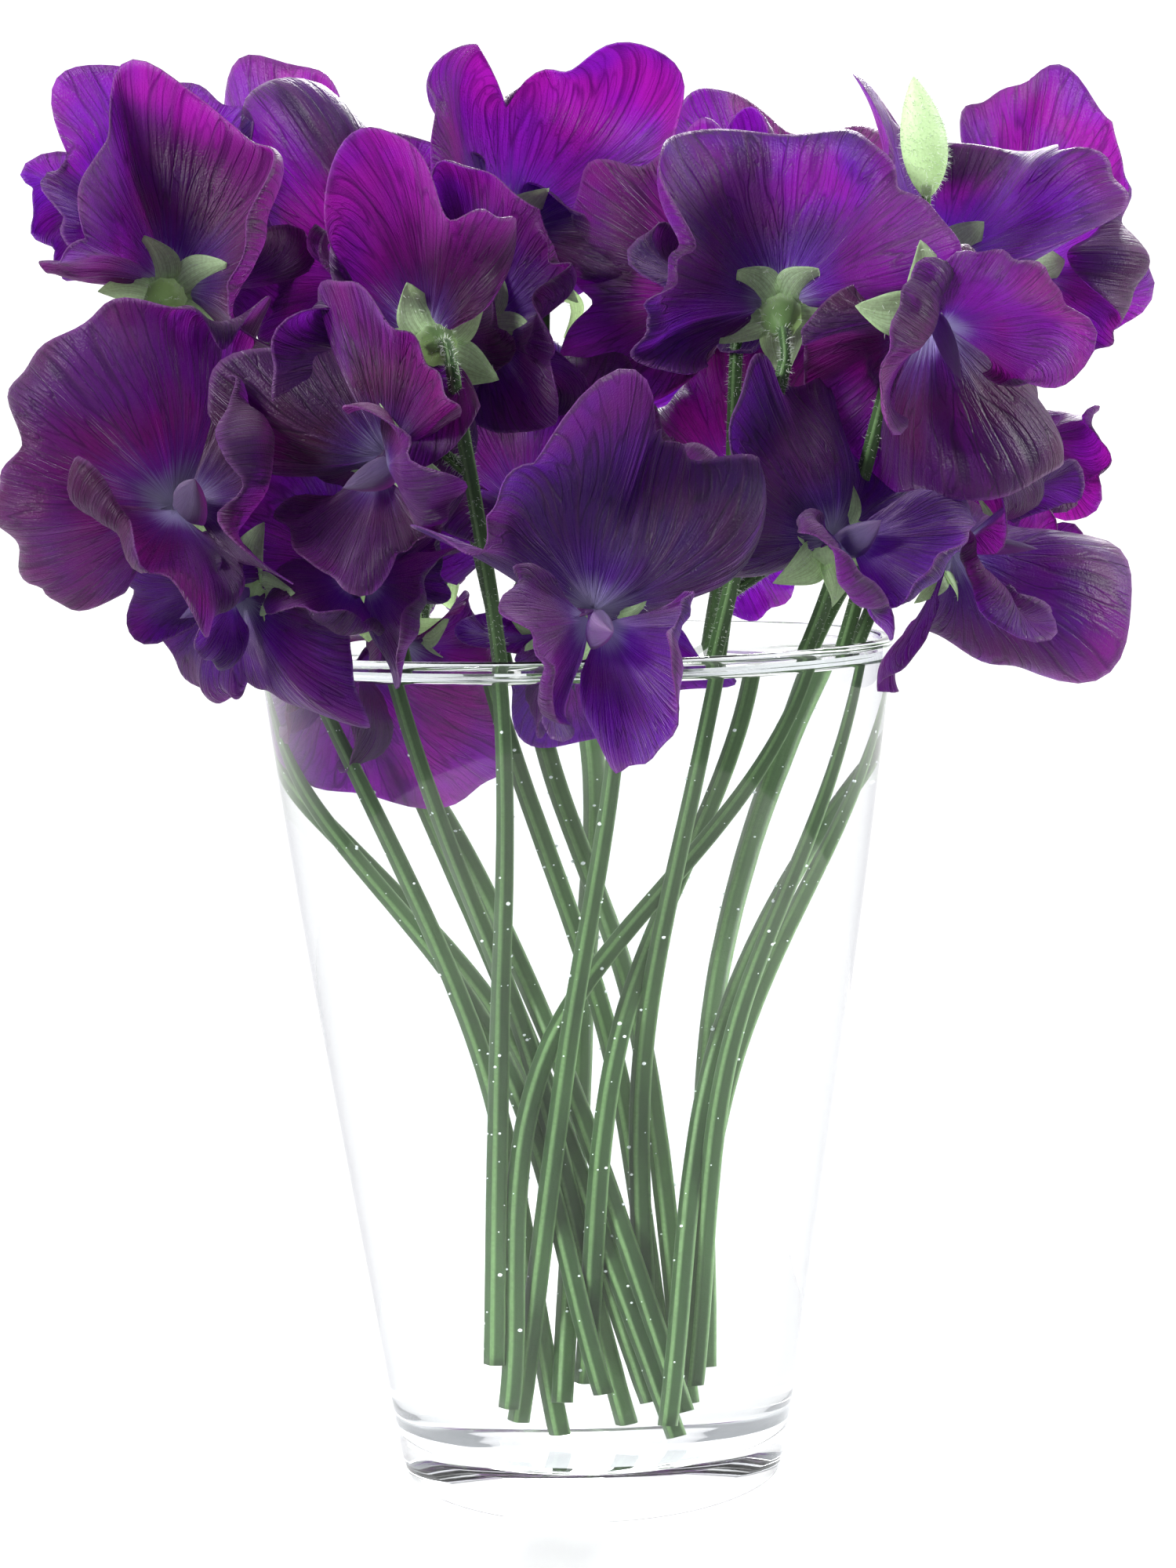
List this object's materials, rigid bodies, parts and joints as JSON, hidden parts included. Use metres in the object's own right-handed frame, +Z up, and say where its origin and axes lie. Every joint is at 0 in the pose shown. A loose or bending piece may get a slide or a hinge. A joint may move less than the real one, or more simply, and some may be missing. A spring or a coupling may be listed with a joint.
{
  "type": "bunch of cut sweet peas in a glass vase",
  "caption": "Cut sweet peas with dark violet ruffled petals and green calyxes on long slender stems, standing in a tapered clear glass vase of water.",
  "frame": {"origin": "centre of the underside of the vase's foot, on the table", "axes": "+Z up, -Y towards the front of the bunch, +X to the right seen from the front"},
  "size_m": [0.2232, 0.2049, 0.2844],
  "materials": {
    "glass": "clear, polished, slightly uneven",
    "water": "clear and still, with small air bubbles on the stems",
    "stem": "satin green, ribbed, downy near the flowers",
    "petal": "soft and thin, lets light through, violet with pale veins near the claw"
  },
  "bodies": {
    "root": {"vase": "glass", "water": "water", "stem_01": "stem", "stem_02": "stem", "stem_03": "stem", "stem_04": "stem", "stem_05": "stem", "stem_06": "stem", "stem_07": "stem", "stem_08": "stem", "stem_09": "stem", "stem_10": "stem", "stem_11": "stem", "stem_12": "stem", "stem_13": "stem", "stem_14": "stem", "stem_15": "stem", "stem_16": "stem", "stem_17": "stem", "stem_18": "stem", "blossom_01": "petal", "blossom_02": "petal", "blossom_03": "petal", "blossom_04": "petal", "blossom_05": "petal", "blossom_06": "petal", "blossom_07": "petal", "blossom_08": "petal", "blossom_09": "petal", "blossom_10": "petal", "blossom_11": "petal", "blossom_12": "petal", "blossom_13": "petal", "blossom_14": "petal", "blossom_15": "petal", "blossom_16": "petal", "blossom_17": "petal", "blossom_18": "petal", "blossom_19": "petal", "blossom_20": "petal", "blossom_21": "petal", "blossom_22": "petal", "blossom_23": "petal", "blossom_24": "petal", "blossom_25": "petal", "blossom_26": "petal", "blossom_27": "petal", "blossom_28": "petal", "blossom_29": "petal", "blossom_30": "petal", "blossom_31": "petal", "blossom_32": "petal", "blossom_33": "petal", "blossom_34": "petal"}
  },
  "joints": []
}
